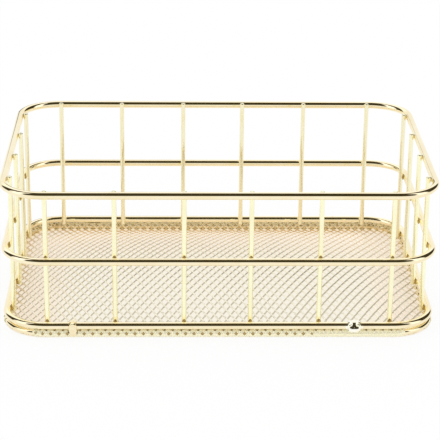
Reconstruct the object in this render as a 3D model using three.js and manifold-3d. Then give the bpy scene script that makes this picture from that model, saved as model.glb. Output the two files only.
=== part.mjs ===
// Gold wire storage basket: three wire rings tied by welded uprights, on a floor of mesh
// whose edge is rolled round a fourth, lower ring.
// Millimetres, +Z up. The origin is on the resting plane, under the middle of the basket.
// The front looks along -Y, and the long side runs along X.
import * as THREE from "three";
import { mergeVertices } from "three/addons/utils/BufferGeometryUtils.js";
import Module from "manifold-3d";

const wasm = await Module();
wasm.setup();

// Plan of every ring, measured on the wire's centre line
const RING_WIDTH = 250;
const RING_DEPTH = 170;
const CORNER_RADIUS = 24;

// Wire diameters
const RING_WIRE = 4.4;
const FLOOR_RING_WIRE = 3.5;
const UPRIGHT_WIRE = 2.8;

// Heights between the centre lines of the rings
const BASE_TO_MIDDLE = 40.1;
const BASE_TO_RIM = 80.6;

// Clearance left at every welded or rolled joint
const JOINT_GAP = 0.2;

// Uprights: how many stand on each side, and how far the end ones are from the corner bends
const LONG_SIDE_UPRIGHTS = 6;
const SHORT_SIDE_UPRIGHTS = 4;
const LONG_SIDE_INSET = 1;
const SHORT_SIDE_INSET = 2.2;
const TIP_CHAMFER = 0.5;
// How far under the top of the rim the front uprights end
const FRONT_TIP_DROP = 0.7;
// How far each column of the long sides was welded off its even place, from left to right
const SLIGHT_DRIFT = -0.5;
const WIDE_DRIFT = -2;
const COLUMN_DRIFT = [0, SLIGHT_DRIFT, SLIGHT_DRIFT, WIDE_DRIFT, WIDE_DRIFT, SLIGHT_DRIFT];

// Mesh floor: a slit and stretched sheet with diamond gaps, two and a half times the true pitch
const SHEET = 0.35;
const MESH_COLUMNS = 20;
const MESH_ROWS = 7;
const MESH_STRAND = 2.4;
const MESH_BORDER = 4;
// The floor swells up inside its flat border: the rise at the middle, and the powers of its fall
// towards the short and the long sides
const FLOOR_RISE = 10.5;
const FALL_TO_SHORT_SIDE = 3;
const FALL_TO_LONG_SIDE = 2;
// The rolled edge goes from under the floor ring, up its outer face and back down its inner face
const HEM_START = THREE.MathUtils.degToRad(-120);
const HEM_END = THREE.MathUtils.degToRad(200);

// Weld beads that tie the floor ring to the base ring
const BEAD_WIDTH = 5.4;
const FRONT_RIGHT_BEAD_WIDTH = 7.4;
const BEAD_HEIGHT = 7.2;
const BEAD_REACH = 1.4;
// How far each bead is from the end of the rings, and how far off the mid-height between them
const FRONT_LEFT_BEAD_INSET = 40;
const FRONT_RIGHT_BEAD_INSET = 46.5;
const REAR_BEAD_INSET = 45;
const FRONT_LEFT_BEAD_LIFT = -0.3;
const FRONT_RIGHT_BEAD_LIFT = 1.4;

// Facets
const WIRE_SIDES = 12;
const CORNER_STEPS = 6;
const HEM_STEPS = 10;
const BEAD_RINGS = 10;
// Points closer than this are one point when a shape is closed for joining or cutting
const MERGE_DISTANCE = 1e-4;

// Worked out from the sizes above
const RING_RADIUS = RING_WIRE / 2;
const FLOOR_RING_RADIUS = FLOOR_RING_WIRE / 2;
const HEM_RADIUS = FLOOR_RING_RADIUS + JOINT_GAP + SHEET;
const FLOOR_RING_Z = HEM_RADIUS;
const BASE_Z = FLOOR_RING_Z + HEM_RADIUS + JOINT_GAP + RING_RADIUS;
const MIDDLE_Z = BASE_Z + BASE_TO_MIDDLE;
const RIM_Z = BASE_Z + BASE_TO_RIM;
const UPRIGHT_OFFSET = RING_RADIUS + JOINT_GAP + UPRIGHT_WIRE / 2;
const MESH_HALF_WIDTH = RING_WIDTH / 2 - MESH_BORDER;
const MESH_HALF_DEPTH = RING_DEPTH / 2 - MESH_BORDER;

const basket = new THREE.Group();

function gold() {
  return new THREE.MeshStandardMaterial({ color: 0xe8cf92, roughness: 0.15, metalness: 1 });
}

function paleGold() {
  return new THREE.MeshStandardMaterial({ color: 0xe6d3ac, roughness: 0.3, metalness: 1 });
}

function place(name, geometry, material, x, y, z) {
  const mesh = new THREE.Mesh(geometry, material);
  mesh.name = name;
  mesh.position.set(x, y, z);
  basket.add(mesh);
}

// Joining and cutting closed shapes
function solidFrom(geometry) {
  const bare = geometry.clone();
  bare.deleteAttribute("normal");
  bare.deleteAttribute("uv");
  const merged = mergeVertices(bare, MERGE_DISTANCE);
  return new wasm.Manifold(
    new wasm.Mesh({
      numProp: 3,
      vertProperties: new Float32Array(merged.attributes.position.array),
      triVerts: new Uint32Array(merged.index.array),
    }),
  );
}

function geometryFrom(solid) {
  const { vertProperties, triVerts } = solid.getMesh();
  const geometry = new THREE.BufferGeometry();
  geometry.setAttribute("position", new THREE.BufferAttribute(vertProperties, 3));
  geometry.setIndex(new THREE.BufferAttribute(triVerts, 1));
  geometry.computeVertexNormals();
  return geometry;
}

// Points on the rings' centre line, each with its outward direction, anticlockwise from above
function ringStations() {
  const stations = [];
  for (let quarter = 0; quarter < 4; quarter += 1) {
    const middle = (Math.PI / 2) * (quarter + 0.5);
    const centre = new THREE.Vector2(
      Math.sign(Math.cos(middle)) * (RING_WIDTH / 2 - CORNER_RADIUS),
      Math.sign(Math.sin(middle)) * (RING_DEPTH / 2 - CORNER_RADIUS),
    );
    for (let step = 0; step <= CORNER_STEPS; step += 1) {
      const angle = (Math.PI / 2) * (quarter + step / CORNER_STEPS);
      const outward = new THREE.Vector2(Math.cos(angle), Math.sin(angle));
      const point = centre.clone().addScaledVector(outward, CORNER_RADIUS);
      stations.push({ point, outward });
    }
  }
  return stations;
}

// Sweeps a closed section once round the rings' plan: section x is outward, section y is up
function sweepRound(section) {
  const stations = ringStations();
  const positions = [];
  const index = [];
  const sides = section.length;
  stations.forEach(({ point, outward }, station) => {
    const next = (station + 1) % stations.length;
    section.forEach((corner, side) => {
      const around = point.clone().addScaledVector(outward, corner.x);
      positions.push(around.x, around.y, corner.y);
      const other = (side + 1) % sides;
      const here = station * sides;
      const there = next * sides;
      index.push(here + side, there + side, there + other);
      index.push(here + side, there + other, here + other);
    });
  });
  const geometry = new THREE.BufferGeometry();
  geometry.setAttribute("position", new THREE.Float32BufferAttribute(positions, 3));
  geometry.setIndex(index);
  geometry.computeVertexNormals();
  return geometry;
}

function arcPoints(radius, from, to, steps) {
  return Array.from({ length: steps + 1 }, (_, step) => {
    const angle = from + ((to - from) * step) / steps;
    return new THREE.Vector2(radius * Math.cos(angle), radius * Math.sin(angle));
  });
}

// A wire ring: a round section with a flat at its lowest and highest points
function wireRing(radius) {
  const half = Math.PI / WIRE_SIDES;
  const section = arcPoints(radius, half, 2 * Math.PI - half, WIRE_SIDES - 1);
  return sweepRound(section);
}

// An upright: a straight wire with chamfered tips, standing on its lower end
function uprightWire(length) {
  const radius = UPRIGHT_WIRE / 2;
  const profile = [
    new THREE.Vector2(0, 0),
    new THREE.Vector2(radius - TIP_CHAMFER, 0),
    new THREE.Vector2(radius, TIP_CHAMFER),
    new THREE.Vector2(radius, length - TIP_CHAMFER),
    new THREE.Vector2(radius - TIP_CHAMFER, length),
    new THREE.Vector2(0, length),
  ];
  return new THREE.LatheGeometry(profile, WIRE_SIDES).rotateX(Math.PI / 2);
}

// Even places along one straight stretch between two corner bends
function evenPlaces(side, inset, count) {
  const first = side / 2 - CORNER_RADIUS - inset;
  return Array.from({ length: count }, (_, i) => first * ((2 * i) / (count - 1) - 1));
}

// The corners of a diamond gap of the mesh floor, drawn in by half a strand on each side
function diamond(x, y, halfX, halfY) {
  const toSide = (halfX * halfY) / Math.hypot(halfX, halfY);
  const share = 1 - MESH_STRAND / 2 / toSide;
  return [
    new THREE.Vector2(x + halfX * share, y),
    new THREE.Vector2(x, y + halfY * share),
    new THREE.Vector2(x - halfX * share, y),
    new THREE.Vector2(x, y - halfY * share),
  ];
}

// True where a point of the floor is inside the plain border that follows the rings' plan
function insideBorder({ x, y }) {
  const past = Math.hypot(
    Math.max(Math.abs(x) - (RING_WIDTH / 2 - CORNER_RADIUS), 0),
    Math.max(Math.abs(y) - (RING_DEPTH / 2 - CORNER_RADIUS), 0),
  );
  return past <= CORNER_RADIUS - MESH_BORDER + MERGE_DISTANCE;
}

// The diamond gaps, in rows shifted by half a diamond from the rows beside them. A gap on the
// border is cut off halfway.
function meshGaps() {
  const halfX = MESH_HALF_WIDTH / MESH_COLUMNS;
  const halfY = MESH_HALF_DEPTH / MESH_ROWS;
  const gaps = [];
  for (let row = 0; row <= 2 * MESH_ROWS; row += 1) {
    const y = (row - MESH_ROWS) * halfY;
    for (let column = row % 2; column <= 2 * MESH_COLUMNS; column += 2) {
      const x = (column - MESH_COLUMNS) * halfX;
      const corners = diamond(x, y, halfX, halfY).filter(insideBorder);
      if (corners.length > 2) {
        gaps.push(new THREE.Shape(corners));
      }
    }
  }
  return gaps;
}

// How far the floor has swelled up at a point of its plan
function floorRise(x, y) {
  const toShortSide = Math.min(Math.abs(x) / MESH_HALF_WIDTH, 1);
  const toLongSide = Math.min(Math.abs(y) / MESH_HALF_DEPTH, 1);
  return FLOOR_RISE * (1 - toShortSide ** FALL_TO_SHORT_SIDE) * (1 - toLongSide ** FALL_TO_LONG_SIDE);
}

// The mesh floor: a swelled sheet under the floor ring, and its edge rolled round that ring
function meshFloor() {
  const outline = new THREE.Shape(ringStations().map(({ point }) => point));
  const sheet = new THREE.ExtrudeGeometry(outline, { depth: SHEET, bevelEnabled: false });
  const gaps = new THREE.ExtrudeGeometry(meshGaps(), { depth: 3 * SHEET, bevelEnabled: false });
  gaps.translate(0, 0, -SHEET);
  const section = [
    ...arcPoints(HEM_RADIUS, HEM_START, HEM_END, HEM_STEPS),
    ...arcPoints(HEM_RADIUS - SHEET, HEM_END, HEM_START, HEM_STEPS),
  ];
  const hem = sweepRound(section).translate(0, 0, FLOOR_RING_Z);
  const mesh = geometryFrom(solidFrom(sheet).subtract(solidFrom(gaps)));
  const points = mesh.attributes.position;
  for (let i = 0; i < points.count; i += 1) {
    points.setZ(i, points.getZ(i) + floorRise(points.getX(i), points.getY(i)));
  }
  return geometryFrom(solidFrom(mesh).add(solidFrom(hem)));
}

// A weld bead: half a rounded lump on the outer side, hollowed where the two rings pass
function weldBead(width, facing, lift) {
  const middle = (FLOOR_RING_Z + BASE_Z) / 2 + lift;
  const depth = RING_RADIUS + BEAD_REACH;
  const lump = new THREE.SphereGeometry(1, 2 * BEAD_RINGS, BEAD_RINGS);
  lump.scale(width / 2, depth, BEAD_HEIGHT / 2).translate(0, 0, middle);
  const outerHalf = new THREE.BoxGeometry(2 * width, 2 * depth, 4 * BEAD_HEIGHT);
  outerHalf.translate(0, facing * depth, middle);
  let bead = solidFrom(lump).intersect(solidFrom(outerHalf));
  const passing = [
    { radius: RING_RADIUS, z: BASE_Z },
    { radius: HEM_RADIUS, z: FLOOR_RING_Z },
  ];
  passing.forEach(({ radius, z }) => {
    const reach = radius + JOINT_GAP;
    const wire = new THREE.CylinderGeometry(reach, reach, 2 * width, 2 * WIRE_SIDES);
    bead = bead.subtract(solidFrom(wire.rotateZ(Math.PI / 2).translate(0, 0, z)));
  });
  return geometryFrom(bead);
}

place("rim_ring", wireRing(RING_RADIUS), gold(), 0, 0, RIM_Z);
place("middle_ring", wireRing(RING_RADIUS), gold(), 0, 0, MIDDLE_Z);
place("base_ring", wireRing(RING_RADIUS), gold(), 0, 0, BASE_Z);
place("floor_ring", wireRing(FLOOR_RING_RADIUS), gold(), 0, 0, FLOOR_RING_Z);
place("mesh_floor", meshFloor(), paleGold(), 0, 0, 0);

const uprightFoot = BASE_Z - RING_RADIUS;
const uprightLength = BASE_TO_RIM + RING_WIRE;
const frontLength = uprightLength - FRONT_TIP_DROP;
evenPlaces(RING_WIDTH, LONG_SIDE_INSET, LONG_SIDE_UPRIGHTS).forEach((even, i) => {
  const x = even + (COLUMN_DRIFT[i] ?? 0);
  const y = RING_DEPTH / 2 - UPRIGHT_OFFSET;
  place(`front_upright_${i + 1}`, uprightWire(frontLength), gold(), x, -y, uprightFoot);
  place(`rear_upright_${i + 1}`, uprightWire(uprightLength), gold(), x, y, uprightFoot);
});
evenPlaces(RING_DEPTH, SHORT_SIDE_INSET, SHORT_SIDE_UPRIGHTS).forEach((y, i) => {
  const x = RING_WIDTH / 2 - UPRIGHT_OFFSET;
  place(`left_upright_${i + 1}`, uprightWire(uprightLength), gold(), -x, y, uprightFoot);
  place(`right_upright_${i + 1}`, uprightWire(uprightLength), gold(), x, y, uprightFoot);
});

function placeBead(name, bead, x, facing) {
  place(name, bead, gold(), x, (facing * RING_DEPTH) / 2, 0);
}
const frontLeftBead = weldBead(BEAD_WIDTH, -1, FRONT_LEFT_BEAD_LIFT);
const frontRightBead = weldBead(FRONT_RIGHT_BEAD_WIDTH, -1, FRONT_RIGHT_BEAD_LIFT);
const rearBeadX = RING_WIDTH / 2 - REAR_BEAD_INSET;
placeBead("front_left_weld", frontLeftBead, FRONT_LEFT_BEAD_INSET - RING_WIDTH / 2, -1);
placeBead("front_right_weld", frontRightBead, RING_WIDTH / 2 - FRONT_RIGHT_BEAD_INSET, -1);
placeBead("rear_left_weld", weldBead(BEAD_WIDTH, 1, 0), -rearBeadX, 1);
placeBead("rear_right_weld", weldBead(BEAD_WIDTH, 1, 0), rearBeadX, 1);

export default basket;
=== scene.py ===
"""Gold wire storage basket, dressed for a white studio.

Smooth wire rings, uprights with spot welds, and a floor of slit and stretched mesh whose edge
is rolled round the lowest ring. Lengths are in metres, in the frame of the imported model.
"""

import math

import bpy
from mathutils import Matrix, Vector, noise


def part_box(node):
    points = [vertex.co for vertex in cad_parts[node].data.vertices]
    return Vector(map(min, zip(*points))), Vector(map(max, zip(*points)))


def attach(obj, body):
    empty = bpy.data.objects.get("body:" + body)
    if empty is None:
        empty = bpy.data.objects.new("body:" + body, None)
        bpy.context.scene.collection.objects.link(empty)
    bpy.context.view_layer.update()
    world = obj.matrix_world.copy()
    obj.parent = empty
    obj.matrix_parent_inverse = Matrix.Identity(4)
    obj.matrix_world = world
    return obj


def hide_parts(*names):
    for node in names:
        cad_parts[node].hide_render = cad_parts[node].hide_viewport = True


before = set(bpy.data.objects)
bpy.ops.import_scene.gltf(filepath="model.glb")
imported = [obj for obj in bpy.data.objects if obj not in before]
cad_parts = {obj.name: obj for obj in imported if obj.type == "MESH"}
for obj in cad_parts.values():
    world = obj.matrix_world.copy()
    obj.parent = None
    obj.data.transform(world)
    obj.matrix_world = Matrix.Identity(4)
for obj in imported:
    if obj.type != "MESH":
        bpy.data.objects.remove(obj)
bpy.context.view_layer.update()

MM = 0.001
UP = Vector((0, 0, 1))
OUTWARD = {
    "front": Vector((0, -1, 0)),
    "rear": Vector((0, 1, 0)),
    "left": Vector((-1, 0, 0)),
    "right": Vector((1, 0, 0)),
}


# Sizes

# Plan of the rings, on the wire's centre line, and the middles of its corner bends
RING_WIDTH = 250 * MM
RING_DEPTH = 170 * MM
CORNER_RADIUS = 24 * MM
BEND_X = RING_WIDTH / 2 - CORNER_RADIUS
BEND_Y = RING_DEPTH / 2 - CORNER_RADIUS

# Wires, with the facets round them, along each corner bend and over each rounded tip
RING_RADIUS = 4.4 * MM / 2
FLOOR_RING_RADIUS = 3.5 * MM / 2
UPRIGHT_RADIUS = 2.8 * MM / 2
TIP_ROUNDING = 0.7 * MM
RING_SIDES = 28
CORNER_STEPS = 24
UPRIGHT_SIDES = 20
TIP_STEPS = 5

# Spot welds: how far they stand off the upright, their half depth, how much their size varies and
# how quickly it does from place to place, and their facets
SPOT_STAND_OFF = 0.1 * MM
SPOT_HALF_DEPTH = 0.75 * MM
SPOT_VARIATION = 0.15
SPOT_VARIATION_SCALE = 900
SPOT_SIDES = 14
SPOT_STEPS = 8
# On the rim they sit near the tips of the uprights
RIM_WELD_LIFT = 0.7 * MM

# Mesh of the floor: one diamond repeats every MESH_ACROSS in X and every MESH_ALONG in Y
MESH_ACROSS = 4.9 * MM
MESH_ALONG = 9.15 * MM
MESH_STRAND = 1.05 * MM
MESH_SHEET = 0.3 * MM
# Corners of one gap, in half diamonds from its middle
GAP_CORNERS = [
    (1, 0), (0.5, 0.5), (0, 1), (-0.5, 0.5),
    (-1, 0), (-0.5, -0.5), (0, -1), (0.5, -0.5),
]
# The floor swells up inside a flat border: the rise at the middle, and the powers of its fall
# towards the short and the long sides
MESH_BORDER = 4 * MM
FLOOR_RISE = 10.5 * MM
FALL_TO_SHORT_SIDE = 3
FALL_TO_LONG_SIDE = 2
# Right of this place the leaning strands run on through the nodes of the mesh
LONG_LEAN_START = 20 * MM
LONG_LEAN_BLEND = 40 * MM
# How far the edges of a strand stand above and below its middle, on the floor and in the hem
STRAND_TILT = 0.19 * MM
HEM_TILT = 0.1 * MM
HEM_BLEND = 3 * MM

# The hem runs from under the floor ring, up its outer face and down its inner face, and rolling
# has pushed its diamonds closer together
HEM_TURN = math.radians(290)
HEM_SQUEEZE = 1.78
# How far into each front corner bend the hem reaches before the ring is bare
HEM_CORNER_REACH = math.radians(17)
BARE_CORNER_LAP = 1.2 * MM
# On the right end of the front the hem is pressed tight
PRESSED_HEM_START = 50 * MM
PRESSED_HEM_BLEND = 12 * MM
# How far the slits are open: in the hem, in its pressed end, below PRESSED_ROW of that end, and on
# the inner face of the hem, which starts at INNER_HEM_START. Both are lengths of the rolled edge.
HEM_GAP = 0.62
PRESSED_GAP = 0.52
SHUT_GAP = 0.05
INNER_GAP = 0.6
PRESSED_ROW = 4.4 * MM
INNER_HEM_START = 6.9 * MM

# Weld beads: how far their toes spread past their size, their facets, how far they stay clear of
# the base ring and sink into the outer face of the hem, how deep their rim is sunk, how far out
# their back is, their lowest point, and the angle above which their edges stay sharp
BEAD_SPREAD = 1.3
BEAD_RINGS = 26
BEAD_SIDES = 40
BEAD_CLEARANCE = 0.03 * MM
BEAD_HEM_MARGIN = 0.02 * MM
BEAD_RIM_SINK = 0.5 * MM
BEAD_BACK = 1.2 * MM
BEAD_LOWEST = 0.15 * MM
BEAD_SHARP_ANGLE = math.radians(35)
# The crater of a bead: its share of the full width at the foot and the top, the height over which
# it widens from the foot, and the height where it narrows again
CRATER_NECK = 0.45
CRATER_WIDENING = 0.6 * MM
CRATER_NARROWING_START = 1.6 * MM
CRATER_NARROWING = 0.8 * MM


def middle_of(node):
    return [(low + high) / 2 for low, high in zip(*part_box(node))]


RIM_Z = middle_of("rim_ring")[2]
MIDDLE_Z = middle_of("middle_ring")[2]
BASE_Z = middle_of("base_ring")[2]
FLOOR_RING_Z = middle_of("floor_ring")[2]
HEM_RADIUS = FLOOR_RING_Z - MESH_SHEET / 2 - HEM_TILT


# Materials


class Shade:
    """A value in a node tree. Arithmetic on it adds Math nodes."""

    def __init__(self, tree, socket=None):
        self.tree = tree
        self.socket = socket

    def make(self, kind, settings=None, inputs=None, output=0):
        """Adds a node, with its settings first, then the values or links of its sockets."""
        node = self.tree.nodes.new(kind)
        for name, value in (settings or {}).items():
            setattr(node, name, value)
        for name, value in (inputs or {}).items():
            if isinstance(value, Shade):
                self.tree.links.new(value.socket, node.inputs[name])
            else:
                node.inputs[name].default_value = value
        return Shade(self.tree, node.outputs[output] if node.outputs else None)

    def math(self, operation, first, second=0.0):
        return self.make("ShaderNodeMath", {"operation": operation}, {0: first, 1: second})

    def __add__(self, other):
        return self.math("ADD", self, other)

    def __radd__(self, other):
        return self.math("ADD", other, self)

    def __sub__(self, other):
        return self.math("SUBTRACT", self, other)

    def __rsub__(self, other):
        return self.math("SUBTRACT", other, self)

    def __mul__(self, other):
        return self.math("MULTIPLY", self, other)

    def __rmul__(self, other):
        return self.math("MULTIPLY", other, self)

    def __neg__(self):
        return self.math("MULTIPLY", self, -1.0)

    def __abs__(self):
        return self.math("ABSOLUTE", self)

    def larger(self, other):
        return self.math("MAXIMUM", self, other)

    def whole_offset(self):
        """How far the value is from the nearest whole number."""
        return abs(self.math("FRACT", self + 0.5) - 0.5)

    def rise(self, low, high):
        """0 below low, 1 above high, and a soft step between them."""
        return self.make(
            "ShaderNodeMapRange",
            {"interpolation_type": "SMOOTHSTEP"},
            {"Value": self, "From Min": low, "From Max": high},
        )

    def above(self, low, full):
        """The same soft step, for an angle and two limits in degrees."""
        return self.rise(math.radians(low), math.radians(full))

    def between(self, low, full, ebb, high):
        """A band of angles in degrees: 0 up to low, 1 from full to ebb, and 0 from high on."""
        return self.above(low, full) * (1 - self.above(ebb, high))

    def mix(self, first, second):
        """The first colour where this is 0 and the second where it is 1."""
        return self.make("ShaderNodeMix", {"data_type": "RGBA"}, {0: self, 6: first, 7: second}, 2)


def colour(red, green, blue):
    """A colour written as sRGB bytes, as linear numbers."""
    linear = []
    for byte in (red, green, blue):
        share = byte / 255
        linear.append(share / 12.92 if share <= 0.04045 else ((share + 0.055) / 1.055) ** 2.4)
    return (*linear, 1.0)


WHITE = colour(255, 255, 255)
PALE_GOLD = colour(252, 241, 208)
DEEP_GOLD = colour(246, 231, 190)
# Shade painted on the floor ring inside the hem, and the lighter gold below the hem's inner end
HEM_SHADE_GOLD = colour(186, 160, 104)
HEM_END_GOLD = colour(248, 220, 158)

# Plating: the slow drift of its colour and the fine wiping marks, with their scale and detail, the
# limits between which they show, and their shares in the tone
DRIFT_SCALE, DRIFT_DETAIL = 45.0, 3.0
WIPING_SCALE, WIPING_DETAIL = 620.0, 4.0
DRIFT_LIMITS = (0.35, 0.68)
WIPING_LIMITS = (0.4, 0.75)
WORN_LIMITS = (0.35, 0.7)
DRIFT_SHARE = 0.7
WIPING_SHARE = 0.3
DENT_STRENGTH = 0.5

# Floor ring: where the bare front bends begin, the height above which the wire inside the hem is
# painted with shade, how much higher that is at the pressed end, where the inner end of the hem
# lets golden wire show below that painted shade, and the roughness of the shaded wire
BARE_BEND = (5 * MM, 8 * MM)
HEM_FOOT = 1.5 * MM
HEM_FOOT_BLEND = 0.4 * MM
PRESSED_HEM_RISE = 2 * MM
HEM_END_HEIGHT = (2.6 * MM, 3.2 * MM)
HEM_END_BLEND = 0.6 * MM
HIDDEN_ROUGHNESS = 0.6

# Places of painted tones: the rear wires, painted a little darker as shade, and the rear of the
# floor, its golden ends and its last ends, with painted gold reflection
REAR_WIRES = (-30 * MM, 50 * MM)
REAR_FLOOR = (0.0, 70 * MM)
GOLDEN_ENDS = (80 * MM, 118 * MM)
FLOOR_ENDS = (88 * MM, 116 * MM)
# Strands: how wide the painted shade on the strands that face the rear is, and how wide the
# nodes are, as shares of a diamond
PAINTED_SHADE_STRAND = (0.09, 0.15)
NODE_WIDTH = (0.06, 0.14)
# How strong each painted tone is, and how much less metallic the hem and the ends are
GOLDEN_SHARE = 0.85
END_SHARE = 0.7
PAINTED_SHADE_SHARE = 0.85
HEM_DULLNESS = 0.8
END_DULLNESS = 0.75
# Where the hem starts and where its outer face does, on the way out to the rings' centre line
HEM_START = (CORNER_RADIUS - 4 * MM, CORNER_RADIUS - MM)
OUTER_HEM_START = (CORNER_RADIUS - 1.5 * MM, CORNER_RADIUS)


def new_material(name):
    material = bpy.data.materials.new(name)
    material.use_nodes = True
    material.node_tree.nodes.clear()
    return material, Shade(material.node_tree)


def split_place(shade, place):
    node = shade.make("ShaderNodeSeparateXYZ", None, {"Vector": place}).socket.node
    return (Shade(shade.tree, socket) for socket in node.outputs)


def marks(shade, place, scale, detail=2.0):
    """Soft random marks from 0 to 1."""
    return shade.make(
        "ShaderNodeTexNoise", None, {"Vector": place, "Scale": scale, "Detail": detail}
    )


def corner_distance(x, y):
    """Distance from the middle of the nearest corner bend, for points in or beyond that bend, and
    from the line between two such middles for points beside it."""
    over_x = (abs(x) - BEND_X).larger(0.0)
    over_y = (abs(y) - BEND_Y).larger(0.0)
    return x.math("SQRT", over_x * over_x + over_y * over_y)


def golden_part(x, y):
    """The rear and the two ends of the floor, where the floor gets a painted gold reflection of the
    wires and the table under it painted gold light.
    """
    return y.rise(*REAR_FLOOR).larger(abs(x).rise(*GOLDEN_ENDS))


def floor_end(x):
    """The two short ends of the floor."""
    return abs(x).rise(*FLOOR_ENDS)


def floor_tone(x, y, plate, at_hem, painted_shade_flank, rear, rear_flank, end, hem, inner_hem):
    """Colour of the mesh, with painted light and shade: the strands that face the rear get painted
    shade between the nodes, the rear and the ends of the floor get a painted gold reflection, and
    the hem has its own outer colour and an inner colour painted more golden against its shade."""
    across = x * (1 / MESH_ACROSS)
    along = y * (1 / MESH_ALONG)
    rising = (across - along + 0.5).whole_offset()
    falling = (across + along + 0.5).whole_offset()
    long_lean = x.rise(LONG_LEAN_START, LONG_LEAN_START + LONG_LEAN_BLEND)
    between_nodes = falling.rise(*NODE_WIDTH).larger(long_lean)
    shaded_strands = (1 - rising.rise(*PAINTED_SHADE_STRAND)) * between_nodes
    floor = (golden_part(x, y) * GOLDEN_SHARE).mix(plate, rear)
    floor = (floor_end(x) * END_SHARE).mix(floor, end)
    floor = (shaded_strands * PAINTED_SHADE_SHARE).mix(floor, y.rise(*REAR_FLOOR).mix(painted_shade_flank, rear_flank))
    outer = corner_distance(x, y).rise(*OUTER_HEM_START)
    return at_hem.mix(floor, outer.mix(inner_hem, hem))


def bare_ring(x, y, z):
    """Where the floor ring keeps its plating and no painted shade: below the foot of the hem, and
    in the front bends.
    """
    at_front = 1 - y.rise(-MM, MM)
    bend = (abs(x) - BEND_X).rise(*BARE_BEND) * (abs(y) - BEND_Y).rise(*BARE_BEND) * at_front
    pressed = x.rise(PRESSED_HEM_START, PRESSED_HEM_START + PRESSED_HEM_BLEND) * at_front
    lowered = z - pressed * PRESSED_HEM_RISE
    covered = lowered.rise(HEM_FOOT - HEM_FOOT_BLEND, HEM_FOOT + HEM_FOOT_BLEND)
    return 1 - covered * (1 - bend)


def below_hem_end(x, y, z):
    """The inner face of the floor ring, below the end of the hem."""
    inner = 1 - corner_distance(x, y).rise(CORNER_RADIUS - HEM_END_BLEND, CORNER_RADIUS)
    return inner * (1 - z.rise(*HEM_END_HEIGHT))


def gold_plating(name, pale, deep, polish, dents, painted_hem_shade=None, floor=None, rear=None):
    """Plated wire: the colour drifts along it, and fine wiping marks vary the polish. Polish is
    the roughness of smooth and of worn places, and dents is their depth and size. The painted hem
    shade is the colour of shade painted on the wire where the hem covers it. Floor holds the other
    colours of the mesh floor, with its painted light and shade. Rear is the colour of the wires at
    the back, painted a little darker as shade."""
    material, shade = new_material(name)
    place = shade.make("ShaderNodeTexCoord", output="Object")
    drift = marks(shade, place, DRIFT_SCALE, DRIFT_DETAIL)
    wiping = marks(shade, place, WIPING_SCALE, WIPING_DETAIL)
    tone = drift.rise(*DRIFT_LIMITS) * DRIFT_SHARE + wiping.rise(*WIPING_LIMITS) * WIPING_SHARE
    plate = tone.mix(pale, deep)
    metal = 1.0
    smooth, worn = polish
    roughness = smooth + (worn - smooth) * wiping.rise(*WORN_LIMITS)
    dent_depth, dent_size = dents
    bump = shade.make(
        "ShaderNodeBump",
        None,
        {
            "Strength": DENT_STRENGTH,
            "Distance": dent_depth,
            "Height": marks(shade, place, 1 / dent_size),
        },
    )
    # The wire under the hem gets painted shade and no metal
    if painted_hem_shade:
        x, y, z = split_place(shade, place)
        bare = bare_ring(x, y, z)
        plate = bare.mix(below_hem_end(x, y, z).mix(painted_hem_shade, HEM_END_GOLD), plate)
        roughness = bare * roughness + (1 - bare) * HIDDEN_ROUGHNESS
        metal = bare
    # The wires at the back are painted a little darker, as shade
    if rear:
        _, y, _ = split_place(shade, place)
        plate = y.rise(*REAR_WIRES).mix(plate, rear)
    if floor:
        x, y, _ = split_place(shade, place)
        at_hem = corner_distance(x, y).rise(*HEM_START)
        plate = floor_tone(x, y, plate, at_hem, **floor)
        metal = 1 - (at_hem * HEM_DULLNESS).larger(floor_end(x) * END_DULLNESS)
    surface = shade.make(
        "ShaderNodeBsdfPrincipled",
        None,
        {"Base Color": plate, "Metallic": metal, "Roughness": roughness, "Normal": bump},
    )
    shade.make("ShaderNodeOutputMaterial", None, {"Surface": surface})
    return material


RING_FINISH = {"polish": (0.02, 0.05), "dents": (0.03 * MM, 3 * MM)}
BEAD_FINISH = {"polish": (0.06, 0.16), "dents": (0.05 * MM, 1.2 * MM)}

RING_GOLD = gold_plating("ring_gold", PALE_GOLD, DEEP_GOLD, **RING_FINISH)
FLOOR_RING_GOLD = gold_plating(
    "floor_ring_gold", PALE_GOLD, DEEP_GOLD, **RING_FINISH, painted_hem_shade=HEM_SHADE_GOLD
)
UPRIGHT_GOLD = gold_plating(
    "upright_gold",
    colour(255, 254, 220),
    colour(252, 246, 207),
    polish=(0.08, 0.14),
    dents=(0.01 * MM, 2 * MM),
    # Painted shade on the rear uprights
    rear=colour(247, 240, 208),
)
MESH_GOLD = gold_plating(
    "mesh_gold",
    colour(238, 232, 213),
    colour(232, 225, 204),
    polish=(0.24, 0.34),
    dents=(0.02 * MM, 1 * MM),
    floor={
        # Painted shade on the strands that face the rear, at the front and at the rear of the floor
        "painted_shade_flank": colour(186, 178, 157),
        # Painted gold reflection at the rear and the golden ends of the floor, and painted light at
        # its last ends
        "rear": colour(255, 243, 226),
        "rear_flank": colour(238, 217, 190),
        "end": colour(255, 244, 224),
        "hem": colour(255, 249, 216),
        # The inner hem is painted more golden, against the shade of the base ring above it
        "inner_hem": colour(255, 236, 184),
    },
)
WELD_GOLD = gold_plating("weld_gold", PALE_GOLD, colour(240, 220, 172), **BEAD_FINISH)
# A near-white gold for the right bead: a painted highlight round the dark crater
PAINTED_HIGHLIGHT_WELD_GOLD = gold_plating(
    "painted_highlight_weld_gold", colour(255, 254, 242), colour(255, 250, 230), **BEAD_FINISH
)
RIM_WELD_SCALE = gold_plating(
    "rim_weld_scale",
    colour(238, 224, 188),
    colour(222, 206, 166),
    polish=(0.4, 0.6),
    dents=(0.05 * MM, 0.8 * MM),
)
# Weld scale, partly real and partly painted shade where the uprights meet the middle and base rings
WELD_SCALE = gold_plating(
    "weld_scale",
    colour(216, 190, 132),
    colour(192, 165, 108),
    polish=(0.5, 0.7),
    dents=(0.05 * MM, 0.8 * MM),
)


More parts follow.
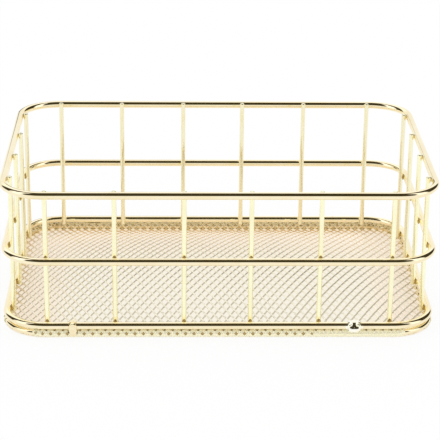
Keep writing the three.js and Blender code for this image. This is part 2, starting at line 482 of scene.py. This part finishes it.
# Wires and spot welds


def new_piece(name, points, faces, material, stands_for=(), smooth=True):
    mesh = bpy.data.meshes.new(name)
    mesh.from_pydata([tuple(p) for p in points], [], faces)
    mesh.materials.append(material)
    mesh.polygons.foreach_set("use_smooth", [smooth] * len(mesh.polygons))
    mesh.update()
    piece = bpy.data.objects.new(name, mesh)
    bpy.context.scene.collection.objects.link(piece)
    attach(piece, "root")
    if stands_for:
        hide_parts(*stands_for)
    return piece


def closed_faces(rows, sides):
    """Faces of a closed form: one foot point, rows of points round it, and one top point."""
    top = 1 + rows * sides
    last = top - sides
    faces = []
    for side in range(sides):
        other = (side + 1) % sides
        faces.append((0, 1 + other, 1 + side))
        for low in range(1, last, sides):
            high = low + sides
            faces.append((low + side, low + other, high + other, high + side))
        faces.append((last + side, last + other, top))
    return faces


def ring_stations():
    """Points on the rings' centre line with their outward directions, anticlockwise."""
    stations = []
    for quarter in range(4):
        middle = math.pi / 2 * (quarter + 0.5)
        centre = Vector(
            (math.copysign(BEND_X, math.cos(middle)), math.copysign(BEND_Y, math.sin(middle)), 0)
        )
        for step in range(CORNER_STEPS + 1):
            angle = math.pi / 2 * (quarter + step / CORNER_STEPS)
            outward = Vector((math.cos(angle), math.sin(angle), 0))
            stations.append((centre + outward * CORNER_RADIUS, outward))
    return stations


def wire_ring(node, radius, z, gold):
    points = []
    faces = []
    stations = ring_stations()
    for index, (centre, outward) in enumerate(stations):
        here = index * RING_SIDES
        there = (index + 1) % len(stations) * RING_SIDES
        for side in range(RING_SIDES):
            angle = 2 * math.pi * side / RING_SIDES
            around = outward * math.cos(angle) + UP * math.sin(angle)
            points.append(centre + UP * z + around * radius)
            other = (side + 1) % RING_SIDES
            faces.append((here + side, there + side, there + other, here + other))
    new_piece(node + "_wire", points, faces, gold, [node])


def turned(profile, sides, x, y):
    """A closed turned form standing at x, y. The profile is radius and height, from the foot."""
    points = [Vector((x, y, profile[0][1]))]
    for radius, z in profile[1:-1]:
        for side in range(sides):
            angle = 2 * math.pi * side / sides
            points.append(Vector((x + radius * math.cos(angle), y + radius * math.sin(angle), z)))
    points.append(Vector((x, y, profile[-1][1])))
    return points, closed_faces(len(profile) - 2, sides)


def upright(node):
    """A straight wire with two rounded tips."""
    low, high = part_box(node)
    rounding = []
    for step in range(TIP_STEPS + 1):
        angle = math.pi / 2 * step / TIP_STEPS
        radius = UPRIGHT_RADIUS - TIP_ROUNDING * (1 - math.sin(angle))
        rounding.append((radius, TIP_ROUNDING * (1 - math.cos(angle))))
    profile = [(0, low.z)]
    profile += [(radius, low.z + rise) for radius, rise in rounding]
    profile += [(radius, high.z - rise) for radius, rise in reversed(rounding)]
    profile += [(0, high.z)]
    x, y, _ = middle_of(node)
    points, faces = turned(profile, UPRIGHT_SIDES, x, y)
    new_piece(node + "_wire", points, faces, UPRIGHT_GOLD, [node])


def lump(centre, across, out, tall):
    """An egg-shaped lump on three half-axes."""
    points = [centre - tall]
    for step in range(1, SPOT_STEPS):
        tilt = math.pi * step / SPOT_STEPS
        for side in range(SPOT_SIDES):
            angle = 2 * math.pi * side / SPOT_SIDES
            flat = across * math.cos(angle) + out * math.sin(angle)
            points.append(centre + flat * math.sin(tilt) - tall * math.cos(tilt))
    points.append(centre + tall)
    return points, closed_faces(SPOT_STEPS - 1, SPOT_SIDES)


def spot_welds(name, z, seats, half_wide, half_tall, gold):
    """The small nuggets between one ring and the uprights that stand against its inside."""
    points = []
    faces = []
    for x, y, outward in seats:
        along = Vector((-outward.y, outward.x, 0))
        touch = Vector((x, y, z)) + outward * (UPRIGHT_RADIUS + SPOT_STAND_OFF)
        size = 1 + SPOT_VARIATION * noise.noise(touch * SPOT_VARIATION_SCALE)
        lump_points, lump_faces = lump(
            touch, along * half_wide * size, outward * SPOT_HALF_DEPTH, UP * (half_tall * size)
        )
        start = len(points)
        points += lump_points
        faces += [tuple(start + corner for corner in face) for face in lump_faces]
    new_piece(name, points, faces, gold)


# Mesh floor


def smooth_step(share):
    share = min(max(share, 0.0), 1.0)
    return share * share * (3 - 2 * share)


def past_ring(x, y):
    """How far a point of the flat sheet lies outside the rings' centre line, the nearest point
    of that line, the outward direction there, and the angle into the corner bend."""
    over_x = abs(x) - BEND_X
    over_y = abs(y) - BEND_Y
    if over_x > 0 and over_y > 0:
        distance = math.hypot(over_x, over_y)
        outward = Vector((math.copysign(over_x, x), math.copysign(over_y, y), 0)) / distance
        centre = Vector((math.copysign(BEND_X, x), math.copysign(BEND_Y, y), 0))
        angle = math.atan2(over_y, over_x)
        return distance - CORNER_RADIUS, centre + outward * CORNER_RADIUS, outward, angle
    if over_x > over_y:
        edge = Vector((math.copysign(RING_WIDTH / 2, x), y, 0))
        return over_x - CORNER_RADIUS, edge, Vector((math.copysign(1, x), 0, 0)), 0.0
    edge = Vector((x, math.copysign(RING_DEPTH / 2, y), 0))
    return over_y - CORNER_RADIUS, edge, Vector((0, math.copysign(1, y), 0)), math.pi / 2


def bare_corner(angle, y):
    """The hem goes round the rear corners, and stops short of the bends of the front ones."""
    return y < 0 and HEM_CORNER_REACH < angle < math.pi / 2 - HEM_CORNER_REACH


def floor_rise(x, y):
    to_short_side = min(abs(x) / (RING_WIDTH / 2 - MESH_BORDER), 1)
    to_long_side = min(abs(y) / (RING_DEPTH / 2 - MESH_BORDER), 1)
    rise_across = 1 - to_short_side**FALL_TO_SHORT_SIDE
    rise_along = 1 - to_long_side**FALL_TO_LONG_SIDE
    return FLOOR_RISE * rise_across * rise_along


def rolled(x, y, lift):
    """Where a point of the flat sheet goes once its edge is rolled round the floor ring.
    Lift is from -1 to 1, the lower and the upper edge of a tilted strand."""
    past, edge, outward, angle = past_ring(x, y)
    tilt = HEM_TILT + (STRAND_TILT - HEM_TILT) * smooth_step(-past / HEM_BLEND)
    if past <= 0:
        middle = MESH_SHEET / 2 + tilt
        return Vector((x, y, middle + lift * tilt + floor_rise(x, y)))
    longest = BARE_CORNER_LAP if bare_corner(angle, y) else HEM_TURN * HEM_RADIUS
    turn = min(past / HEM_SQUEEZE, longest) / HEM_RADIUS - math.pi / 2
    radius = HEM_RADIUS - lift * tilt
    level = FLOOR_RING_Z + radius * math.sin(turn)
    return edge + outward * radius * math.cos(turn) + UP * level


def strand_lean(across, x):
    """How far the rim of a gap is turned up or down at one of its corners."""
    if not across:
        return 0.0
    at_node = smooth_step((x - LONG_LEAN_START) / LONG_LEAN_BLEND)
    return -math.copysign(at_node if abs(across) == 1 else 1.0, across)


def gap_opening(x, y):
    """Share of a full gap. The slits of the hem are narrower than those of the floor, and are
    pressed almost shut on the right end of its front."""
    past = past_ring(x, y)[0]
    rolled_length = past / HEM_SQUEEZE
    if rolled_length > INNER_HEM_START:
        gap = INNER_GAP
    else:
        pressed = smooth_step((x - PRESSED_HEM_START) / PRESSED_HEM_BLEND) if y < 0 else 0.0
        pressed_gap = PRESSED_GAP if rolled_length > PRESSED_ROW else SHUT_GAP
        gap = HEM_GAP + (pressed_gap - HEM_GAP) * pressed
    return 1 - smooth_step(past / HEM_BLEND) * (1 - gap)


def mesh_floor():
    """Slit and stretched sheet: each diamond gap is cut into a frame that it shares with its
    neighbours, and the rim of each gap is tilted, so that the strands lean like louvres."""
    half_x = MESH_ACROSS / 2
    half_y = MESH_ALONG / 2
    to_side = half_x * half_y / math.hypot(half_x, half_y)
    share = 1 - MESH_STRAND / 2 / to_side
    longest = HEM_TURN * HEM_RADIUS * HEM_SQUEEZE
    columns = int((RING_WIDTH / 2 + longest) / half_x) + 1
    rows = int((RING_DEPTH / 2 + longest) / half_y) + 1
    points = []
    faces = []
    shared = {}

    def frame_point(column, row, x, y):
        key = (column, row)
        if key not in shared:
            shared[key] = len(points)
            points.append(rolled(x, y, 0.0))
        return shared[key]

    for row in range(-rows, rows + 1):
        for column in range(-columns, columns + 1):
            if (row + column) % 2:
                continue
            x, y = column * half_x, row * half_y
            past, _, _, angle = past_ring(x, y)
            if past > (BARE_CORNER_LAP if bare_corner(angle, y) else longest - half_x):
                continue
            reach = share * gap_opening(x, y)
            outer = []
            inner = []
            for across, along in GAP_CORNERS:
                key = (round(2 * (column + across)), round(2 * (row + along)))
                outer.append(frame_point(*key, x + across * half_x, y + along * half_y))
                inner.append(len(points))
                gap_x = x + across * half_x * reach
                gap_y = y + along * half_y * reach
                points.append(rolled(gap_x, gap_y, strand_lean(across, gap_x)))
            for side in range(len(GAP_CORNERS)):
                other = (side + 1) % len(GAP_CORNERS)
                faces.append((outer[side], outer[other], inner[other], inner[side]))
    piece = new_piece(
        "mesh_floor_sheet", points, faces, MESH_GOLD, ["mesh_floor"], smooth=False
    )
    sheet = piece.modifiers.new("sheet", "SOLIDIFY")
    sheet.thickness = MESH_SHEET
    sheet.offset = 0


# Weld beads


def bulge(distance, radius):
    return math.sqrt(max(radius * radius - distance * distance, 0.0))


def blended(first, second, softness):
    """The larger of two depths, with a soft fillet where they meet."""
    near = max(softness - abs(first - second), 0.0) / softness
    return max(first, second) + near * near * softness / 4


def crater_reach(climb):
    """How wide the crater is at this height above its foot, as a share of its widest place."""
    if climb < 0:
        return 0.0
    widening = smooth_step(climb / CRATER_WIDENING)
    narrowing = smooth_step((climb - CRATER_NARROWING_START) / CRATER_NARROWING)
    return CRATER_NECK + (1 - CRATER_NECK) * widening * (1 - narrowing)


def weld_bead(node, width, height, middle, depth, flatness, toe, crater=None, gold=WELD_GOLD):
    """A bead that ties the floor ring to the base ring, with a soft toe on both wires. Middle is
    the height of its middle. The higher the flatness, the more its face is a disc. The crater is a
    part of that face that leans back, with its half width, the height of its foot and its slope."""
    x, y, _ = middle_of(node)
    facing = 1 if y > 0 else -1
    line = RING_DEPTH / 2
    points = [Vector((x, facing * (line + depth), middle))]
    for ring in range(1, BEAD_RINGS + 1):
        reach = BEAD_SPREAD * ring / BEAD_RINGS
        for side in range(BEAD_SIDES):
            angle = 2 * math.pi * side / BEAD_SIDES
            across = width / 2 * reach * math.cos(angle)
            z = max(middle + height / 2 * reach * math.sin(angle), BEAD_LOWEST)
            wires = max(
                bulge(z - BASE_Z, RING_RADIUS + BEAD_CLEARANCE),
                bulge(z - FLOOR_RING_Z, FLOOR_RING_Z - BEAD_HEM_MARGIN),
            )
            dome = depth * math.sqrt(max(1 - reach**flatness, 0.0))
            out = blended(wires, dome, toe)
            if crater:
                half_width, foot, slope = crater
                if abs(across) < crater_reach(z - foot) * half_width:
                    out = max(wires, out - slope * (z - foot))
            if ring == BEAD_RINGS:
                out = max(wires - BEAD_RIM_SINK, 0.0)
            points.append(Vector((x + across, facing * (line + out), z)))
    points.append(Vector((x, facing * (line + BEAD_BACK), middle)))
    # The sides of a front bead run the other way round, so its faces are turned over
    faces = [(face[0], *reversed(face[1:])) for face in closed_faces(BEAD_RINGS, BEAD_SIDES)]
    if facing > 0:
        faces = [tuple(reversed(face)) for face in faces]
    bead = new_piece(node + "_bead", points, faces, gold, [node])
    bead.data.set_sharp_from_angle(angle=BEAD_SHARP_ANGLE)


PLAIN_BEAD = {
    "width": 6 * MM,
    "height": 7.2 * MM,
    "middle": 4.65 * MM,
    "depth": 3.6 * MM,
    "flatness": 2,
    "toe": 0.9 * MM,
}
BEAD_FORMS = {
    "front_left_weld": {
        "width": 4.8 * MM,
        "height": 7.9 * MM,
        "middle": 5.7 * MM,
        "depth": 3.0 * MM,
        "flatness": 24,
        "toe": 0.2 * MM,
    },
    "front_right_weld": {
        "width": 8.0 * MM,
        "height": 5.8 * MM,
        "middle": 6.9 * MM,
        "depth": 3.5 * MM,
        "flatness": 24,
        "toe": 0.2 * MM,
        "crater": (2.7 * MM, 6.3 * MM, 0.7),
        # Its face is painted near-white, as a highlight
        "gold": PAINTED_HIGHLIGHT_WELD_GOLD,
    },
}


# The basket

for ring, z in (("rim_ring", RIM_Z), ("middle_ring", MIDDLE_Z), ("base_ring", BASE_Z)):
    wire_ring(ring, RING_RADIUS, z, RING_GOLD)
wire_ring("floor_ring", FLOOR_RING_RADIUS, FLOOR_RING_Z, FLOOR_RING_GOLD)

weld_seats = []
for node in sorted(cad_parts):
    if "_upright_" in node:
        upright(node)
        x, y, _ = middle_of(node)
        weld_seats.append((x, y, OUTWARD[node.split("_")[0]]))
    elif node.endswith("_weld"):
        weld_bead(node, **BEAD_FORMS.get(node, PLAIN_BEAD))
front_seats = [seat for seat in weld_seats if seat[2].y < 0]
other_seats = [seat for seat in weld_seats if seat[2].y >= 0]

# Each group of spot welds has its half width and half height
spot_welds("rim_front_spot_welds", RIM_Z, front_seats, 0.95 * MM, 1.25 * MM, WELD_GOLD)
spot_welds(
    "rim_spot_welds", RIM_Z + RIM_WELD_LIFT, other_seats, 1.2 * MM, 1.25 * MM, RIM_WELD_SCALE
)
# Their darker scale also paints the shade where upright and ring meet
for name, z in (("middle", MIDDLE_Z), ("base", BASE_Z)):
    spot_welds(name + "_front_spot_welds", z, front_seats, 1.5 * MM, 3.1 * MM, WELD_SCALE)
    spot_welds(name + "_spot_welds", z, other_seats, 1.3 * MM, 2.0 * MM, WELD_SCALE)
mesh_floor()


# Studio

# Table: its half size, its grain, and how much of its white shows without shading, to the camera
# and in mirrors
TABLE_HALF = 4.0
TABLE_GRAIN_SCALE = 60.0
TABLE_GRAIN = colour(253, 253, 253)
TABLE_WHITE = 0.88
MIRRORED_WHITE = 0.9
# Under the basket the table is painted gold, as light from the wires: in general, at the rear and
# the ends of the floor, at its last ends, and beside the rear of the floor ring, where it also
# paints the ring's shadow
TABLE_GLOW = colour(253, 247, 233)
TABLE_GOLDEN_GLOW = colour(254, 241, 221)
TABLE_END_GLOW = colour(250, 234, 212)
TABLE_REAR_GLOW = colour(247, 225, 190)
GLOW_EDGE = (CORNER_RADIUS, CORNER_RADIUS + 2 * MM)
REAR_GLOW_EDGE = (CORNER_RADIUS - 5 * MM, CORNER_RADIUS - 2 * MM)
REAR_GLOW = (0.0, 40 * MM)

# What the wires mirror of the room, in degrees. Climb goes up from the front and over to the rear,
# turn goes from the front round to either side, and lift is the height above the horizon.
CEILING_CLIMB = (10, 16, 100, 107)
SOFTBOX_CLIMB = (100, 107, 150, 158)
HORIZON_CLIMB = (163, 169)
STRIP_TURN = (56, 61, 80, 86)
STRIP_TOP = (62, 72)
WING_TURN = (91, 96, 125, 135)
WING_LIFT = (0, 3, 74, 84)
RIGHT_WING_TURN = (86, 92, 140, 148)
RIGHT_WING_LIFT = (1, 5, 60, 70)
# Limits to the sides, as the X of a direction of length 1
CEILING_SIDE = (0.7, 0.8)
RIGHT_SIDE = (-0.02, 0.02)
HORIZON_MIDDLE = -0.13
HORIZON_SIDE = (0.12, 0.18)
# The dark places show only in the first mirror that a ray meets
FIRST_MIRROR = (1.2, 1.8)
SOFTBOX_SHARE = 0.5
BRIGHT_ROOM = (1.35, 1.35, 1.35, 1.0)
HORIZON_GREY = (0.12, 0.12, 0.12, 1.0)
CEILING_DARK = (0.05, 0.04, 0.018, 1.0)

# The photograph's viewpoint: a long lens a metre away, looking down at the front
IMAGE_PIXELS = 440
FOCAL_PIXELS = 1747.76
CAMERA_TURN = (1.59, 21.38, 0.64)
CAMERA_X = -25.92 * MM
CAMERA_Y = -1009 * MM
CAMERA_ABOVE_BASE_RING = 427.87 * MM
SENSOR_WIDTH = 36
CLIP_START = 0.01


def table_top():
    """A plain white table that keeps the basket's shadow. Under the basket it has painted gold
    light, and painted shade beside the rear of the floor ring.
    """
    material, shade = new_material("table_top")
    place = shade.make("ShaderNodeTexCoord", output="Object")
    grain = marks(shade, place, TABLE_GRAIN_SCALE)
    lit = shade.make("ShaderNodeBsdfDiffuse", None, {"Color": grain.mix(TABLE_GRAIN, WHITE)})
    x, y, _ = split_place(shade, place)
    from_bend = corner_distance(x, y)
    # Painted gold light under the basket, and painted shade beside the rear of the floor ring
    glow = golden_part(x, y).mix(TABLE_GLOW, TABLE_GOLDEN_GLOW)
    glow = floor_end(x).mix(glow, TABLE_END_GLOW)
    by_rear_ring = from_bend.rise(*REAR_GLOW_EDGE) * y.rise(*REAR_GLOW)
    glow = by_rear_ring.mix(glow, TABLE_REAR_GLOW)
    tint = (1 - from_bend.rise(*GLOW_EDGE)).mix(WHITE, glow)
    white = shade.make("ShaderNodeEmission", None, {"Color": tint, "Strength": 1.0})
    seen = shade.make("ShaderNodeLightPath", output="Is Camera Ray")
    mirrored = shade.make("ShaderNodeLightPath", output="Is Glossy Ray")
    unshaded = TABLE_WHITE * seen + MIRRORED_WHITE * mirrored
    surface = shade.make("ShaderNodeMixShader", None, {0: unshaded, 1: lit, 2: white})
    shade.make("ShaderNodeOutputMaterial", None, {"Surface": surface})
    corners = [(-1, -1), (1, -1), (1, 1), (-1, 1)]
    mesh = bpy.data.meshes.new("table_top")
    points = [(across * TABLE_HALF, along * TABLE_HALF, 0) for across, along in corners]
    mesh.from_pydata(points, [], [(0, 1, 2, 3)])
    mesh.materials.append(material)
    table = bpy.data.objects.new("table_top", mesh)
    bpy.context.scene.collection.objects.link(table)


def studio_room():
    """A white room. In mirrors it has a dark ceiling in front of and above the basket, dark wings
    at the sides and a grey horizon, with a bright strip and a softbox between them."""
    world = bpy.data.worlds.new("studio_room")
    world.use_nodes = True
    world.node_tree.nodes.clear()
    bpy.context.scene.world = world
    shade = Shade(world.node_tree)
    x, y, z = split_place(shade, shade.make("ShaderNodeTexCoord"))
    climb = shade.math("ARCTAN2", z, -y)
    turn = shade.math("ARCTAN2", abs(x), -y)
    lift = shade.math("ARCSINE", z)
    strip = turn.between(*STRIP_TURN) * (1 - lift.above(*STRIP_TOP))
    ceiling = climb.between(*CEILING_CLIMB) * (1 - strip) * (1 - abs(x).rise(*CEILING_SIDE))
    wings = turn.between(*WING_TURN) * lift.between(*WING_LIFT)
    right_wing = turn.between(*RIGHT_WING_TURN) * lift.between(*RIGHT_WING_LIFT)
    right_wing = right_wing * x.rise(*RIGHT_SIDE)
    horizon = climb.above(*HORIZON_CLIMB) * (1 - abs(x - HORIZON_MIDDLE).rise(*HORIZON_SIDE))
    softbox = climb.between(*SOFTBOX_CLIMB)
    mirrored = shade.make("ShaderNodeLightPath", output="Is Glossy Ray")
    first = 1 - shade.make("ShaderNodeLightPath", output="Glossy Depth").rise(*FIRST_MIRROR)
    bright = (softbox * SOFTBOX_SHARE).larger(strip).mix(WHITE, BRIGHT_ROOM)
    low = (horizon * first).mix(bright, HORIZON_GREY)
    dark = ceiling.larger(wings).larger(right_wing) * first
    light = mirrored.mix(WHITE, dark.mix(low, CEILING_DARK))
    backdrop = shade.make("ShaderNodeBackground", None, {"Color": light, "Strength": 1.0})
    shade.make("ShaderNodeOutputWorld", None, {"Surface": backdrop})


def camera():
    yaw, pitch, roll = (math.radians(angle) for angle in CAMERA_TURN)
    forward = Vector(
        (math.sin(yaw) * math.cos(pitch), math.cos(yaw) * math.cos(pitch), -math.sin(pitch))
    )
    level = Vector((math.cos(yaw), -math.sin(yaw), 0))
    upward = level.cross(forward)
    right = level * math.cos(roll) + upward * math.sin(roll)
    top = upward * math.cos(roll) - level * math.sin(roll)
    turn = Matrix((right, top, -forward)).transposed().to_4x4()
    data = bpy.data.cameras.new("camera")
    data.sensor_width = SENSOR_WIDTH
    data.lens = FOCAL_PIXELS / IMAGE_PIXELS * SENSOR_WIDTH
    data.clip_start = CLIP_START
    eye = bpy.data.objects.new("camera", data)
    place = Matrix.Translation((CAMERA_X, CAMERA_Y, BASE_Z + CAMERA_ABOVE_BASE_RING))
    eye.matrix_world = place @ turn
    bpy.context.scene.collection.objects.link(eye)
    bpy.context.scene.camera = eye


table_top()
studio_room()
camera()
bpy.context.scene.view_settings.view_transform = "Standard"
